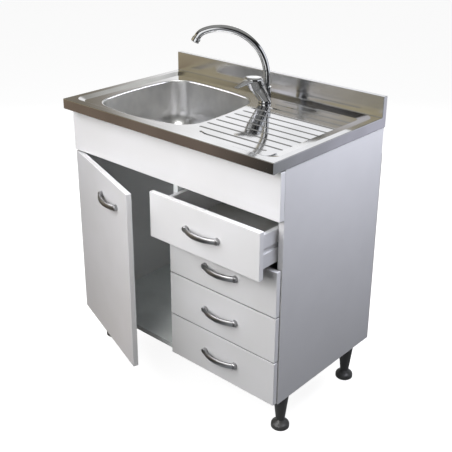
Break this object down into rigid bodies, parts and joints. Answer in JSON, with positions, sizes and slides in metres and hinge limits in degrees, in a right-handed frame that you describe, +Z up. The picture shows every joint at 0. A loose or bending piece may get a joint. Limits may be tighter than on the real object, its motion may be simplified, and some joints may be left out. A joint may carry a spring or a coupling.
{
  "type": "kitchen sink unit",
  "caption": "Free-standing kitchen sink unit: pressed steel top with bowl, ribbed drainer and upstand on a cabinet with door, drawers and legs, with a swan-neck lever mixer tap.",
  "frame": {"origin": "on the floor under the centre of the steel top", "axes": "+Z up, -Y to the fronts, +Y to the wall, +X to the drawers' side"},
  "size_m": [0.8, 0.5985, 1.0735],
  "materials": {
    "steel_polished": "polished stainless sheet",
    "steel_satin": "satin stainless sheet",
    "tap_chrome": "bright chrome",
    "front_foil": "gloss white foil on board",
    "board_white": "white melamine board",
    "board_grey": "grey melamine board",
    "back_grey": "thin lacquered fibreboard",
    "handle_satin": "satin nickel",
    "leg_black": "moulded, fine matt",
    "runner_grey": "moulded",
    "zinc_steel": "zinc plated",
    "seal_rubber": "moulded",
    "waste_plastic": "moulded white",
    "button_grey": "moulded"
  },
  "bodies": {
    "cabinet": {"side_panel_left": "board_white", "side_panel_right": "board_white", "floor_board": "board_grey", "floor_cams": "zinc_steel", "divider": "board_grey", "back_board": "back_grey", "rear_rail": "board_grey", "fascia": "front_foil", "fascia_brackets": "zinc_steel", "drawer_runners": "runner_grey", "legs": "leg_black", "hinge_arms": "zinc_steel", "hinge_plates": "zinc_steel", "steel_top": "steel_polished", "bowl": "steel_satin", "waste_flange": "steel_satin", "waste_gasket": "seal_rubber", "waste_body": "waste_plastic", "waste_screw": "zinc_steel", "tap_body": "tap_chrome", "tap_gasket": "seal_rubber", "tap_fixing": "zinc_steel", "tap_spout_ring": "tap_chrome", "tap_cartridge": "waste_plastic", "tap_cartridge_ring": "tap_chrome"},
    "door": {"door_panel": "front_foil", "door_handle": "handle_satin", "hinge_cups": "zinc_steel", "hinge_pins": "zinc_steel"},
    "drawer_1": {"drawer_1_front": "front_foil", "drawer_1_sides": "board_white", "drawer_1_back": "board_white", "drawer_1_base": "back_grey", "drawer_1_handle": "handle_satin"},
    "drawer_2": {"drawer_2_front": "front_foil", "drawer_2_sides": "board_white", "drawer_2_back": "board_white", "drawer_2_base": "back_grey", "drawer_2_handle": "handle_satin"},
    "drawer_3": {"drawer_3_front": "front_foil", "drawer_3_sides": "board_white", "drawer_3_back": "board_white", "drawer_3_base": "back_grey", "drawer_3_handle": "handle_satin"},
    "drawer_4": {"drawer_4_front": "front_foil", "drawer_4_sides": "board_white", "drawer_4_back": "board_white", "drawer_4_base": "back_grey", "drawer_4_handle": "handle_satin"},
    "spout": {"tap_spout": "tap_chrome", "tap_aerator": "tap_chrome"},
    "lever_stem": {"tap_stem": "tap_chrome"},
    "lever": {"tap_lever": "tap_chrome", "tap_lever_pin": "tap_chrome", "tap_lever_index": "button_grey"},
    "basket": {"strainer_basket": "steel_satin"},
    "foot_front_left": {"foot_front_left": "leg_black"},
    "foot_front_right": {"foot_front_right": "leg_black"},
    "foot_rear_left": {"foot_rear_left": "leg_black"},
    "foot_rear_right": {"foot_rear_right": "leg_black"}
  },
  "joints": [
    {"name": "door_hinge", "type": "hinge", "parent": "cabinet", "child": "door", "pos_m": [-0.3895, -0.212, 0], "axis": [0, 0, -1], "range_deg": [-19.5, 70.5]},
    {"name": "drawer_1_slide", "type": "slide", "parent": "cabinet", "child": "drawer_1", "axis": [0, -1, 0], "range_m": [-0.072, 0.228]},
    {"name": "drawer_2_slide", "type": "slide", "parent": "cabinet", "child": "drawer_2", "axis": [0, -1, 0], "range_m": [0, 0.3]},
    {"name": "drawer_3_slide", "type": "slide", "parent": "cabinet", "child": "drawer_3", "axis": [0, -1, 0], "range_m": [0, 0.3]},
    {"name": "drawer_4_slide", "type": "slide", "parent": "cabinet", "child": "drawer_4", "axis": [0, -1, 0], "range_m": [0, 0.3]},
    {"name": "spout_swivel", "type": "hinge", "parent": "cabinet", "child": "spout", "pos_m": [0.054, 0.145, 0.888], "axis": [0, 0, 1], "range_deg": [-40, 130]},
    {"name": "lever_turn", "type": "hinge", "parent": "cabinet", "child": "lever_stem", "pos_m": [0.054, 0.1, 0.905], "axis": [0, -0.5299, 0.848], "range_deg": [-45, 45]},
    {"name": "lever_lift", "type": "hinge", "parent": "lever_stem", "child": "lever", "pos_m": [0.054, 0.09682, 0.91009], "axis": [-1, 0, 0], "range_deg": [0, 18]},
    {"name": "basket_lift", "type": "slide", "parent": "cabinet", "child": "basket", "axis": [0, 0, 1], "range_m": [0, 0.12]},
    {"name": "foot_front_left_screw", "type": "slide", "parent": "cabinet", "child": "foot_front_left", "axis": [0, 0, -1], "range_m": [0, 0.02]},
    {"name": "foot_front_right_screw", "type": "slide", "parent": "cabinet", "child": "foot_front_right", "axis": [0, 0, -1], "range_m": [0, 0.02]},
    {"name": "foot_rear_left_screw", "type": "slide", "parent": "cabinet", "child": "foot_rear_left", "axis": [0, 0, -1], "range_m": [0, 0.02]},
    {"name": "foot_rear_right_screw", "type": "slide", "parent": "cabinet", "child": "foot_rear_right", "axis": [0, 0, -1], "range_m": [0, 0.02]}
  ]
}
